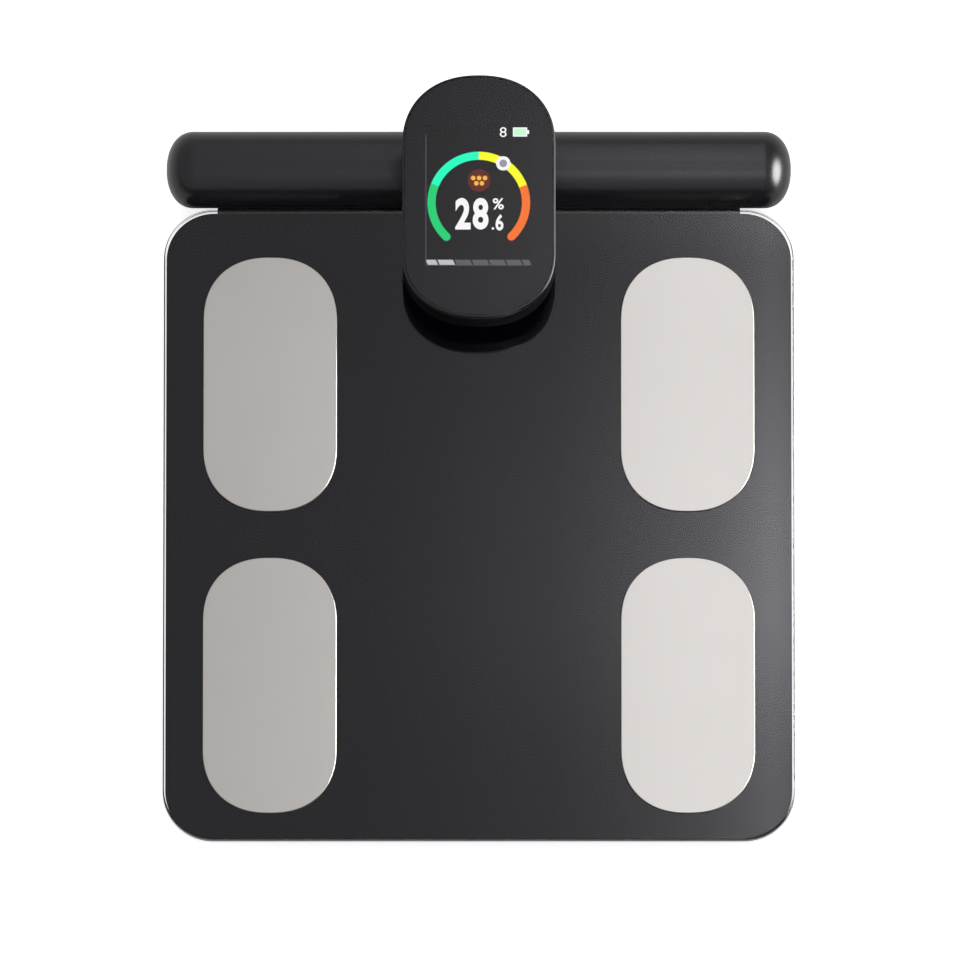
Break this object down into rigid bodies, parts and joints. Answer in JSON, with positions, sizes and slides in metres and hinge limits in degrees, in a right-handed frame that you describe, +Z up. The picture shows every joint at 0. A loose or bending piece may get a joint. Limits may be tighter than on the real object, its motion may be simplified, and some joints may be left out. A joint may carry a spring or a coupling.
{
  "type": "digital bathroom scale",
  "caption": "Glass-topped bathroom scale with steel foot electrodes and a lift-off hand bar that carries a display on a retracting cable.",
  "frame": {"origin": "on the floor, at the centre of the footprint", "axes": "+Z up, +X to the user's right, +Y away from the user, towards the hand bar"},
  "size_m": [0.3, 0.36, 0.0795],
  "materials": {
    "platform_glass": "tempered glass, black print on its underside, clear polished edge",
    "display_glass": "black printed cover glass",
    "satin_steel": "fine satin stainless steel",
    "gloss_black": "gloss black",
    "satin_black": "satin black, smooth moulded",
    "black_abs": "fine spark texture",
    "screen": "colour screen",
    "rubber": "soft matt",
    "natural_pom": "natural moulded acetal",
    "zinc": "zinc plated",
    "spring_steel": "blued spring steel",
    "nickel": "nickel plated",
    "battery_wrap": "printed sleeve, no lettering",
    "circuit_board": "solder mask",
    "cable_pvc": "soft PVC"
  },
  "bodies": {
    "platform": {"base_tray": "black_abs", "battery_1": "battery_wrap", "battery_2": "battery_wrap", "battery_3": "battery_wrap", "battery_4": "battery_wrap", "battery_contacts_front": "nickel", "battery_contacts_rear": "nickel", "cable_gland": "rubber", "cable_lead": "cable_pvc", "dock_cover": "black_abs", "dock_magnet_left": "nickel", "dock_magnet_right": "nickel", "foot_cup_front_left": "black_abs", "foot_cup_front_right": "black_abs", "foot_cup_rear_left": "black_abs", "foot_cup_rear_right": "black_abs", "foot_pad_front_left": "rubber", "foot_pad_front_right": "rubber", "foot_pad_rear_left": "rubber", "foot_pad_rear_right": "rubber", "glass_platform": "platform_glass", "handle_dock": "black_abs", "load_cell_bracket_front_left": "natural_pom", "load_cell_bracket_front_right": "natural_pom", "load_cell_bracket_rear_left": "natural_pom", "load_cell_bracket_rear_right": "natural_pom", "load_cell_front_left": "zinc", "load_cell_front_right": "zinc", "load_cell_rear_left": "zinc", "load_cell_rear_right": "zinc", "main_board": "circuit_board", "reel_axle": "spring_steel", "reel_housing": "black_abs", "reel_lid": "black_abs", "reel_spring": "spring_steel", "sole_electrode_front_left": "satin_steel", "sole_electrode_front_right": "satin_steel", "sole_electrode_rear_left": "satin_steel", "sole_electrode_rear_right": "satin_steel"},
    "handle": {"cable_inlet": "rubber", "display_bezel": "gloss_black", "display_board": "circuit_board", "display_glass": "display_glass", "display_housing": "satin_black", "display_screw_left": "zinc", "display_screw_right": "zinc", "finger_electrode_left": "satin_steel", "finger_electrode_right": "satin_steel", "handle_lead": "cable_pvc", "handle_lower_shell": "satin_black", "handle_upper_shell": "satin_black", "keeper_plate_left": "zinc", "keeper_plate_right": "zinc", "lcd_panel": "screen", "palm_electrode_left": "satin_steel", "palm_electrode_right": "satin_steel"},
    "spool": {"reel_spool": "natural_pom", "cable_winding": "cable_pvc"},
    "battery_door": {"battery_door": "black_abs"},
    "unit_button": {"unit_button": "satin_black"}
  },
  "joints": [
    {"name": "handle_lift", "type": "slide", "parent": "platform", "child": "handle", "axis": [0, 0, 1], "range_m": [0, 0.9]},
    {"name": "spool_spin", "type": "hinge", "parent": "platform", "child": "spool", "pos_m": [-0.025, 0.078, 0.0125], "axis": [0, 0, 1], "range_deg": [0, 2579]},
    {"name": "battery_door_swing", "type": "hinge", "parent": "platform", "child": "battery_door", "pos_m": [0, -0.045, 0.00695], "axis": [-1, 0, 0], "range_deg": [0, 75]},
    {"name": "unit_button_press", "type": "slide", "parent": "platform", "child": "unit_button", "axis": [0, 0, 1], "range_m": [0, 0.001], "stiffness_N_per_m": 300, "springref_m": -0.001}
  ],
  "couplings": [
    {"joint": "spool_spin", "follows": "handle_lift", "rad_per_m": 50}
  ]
}
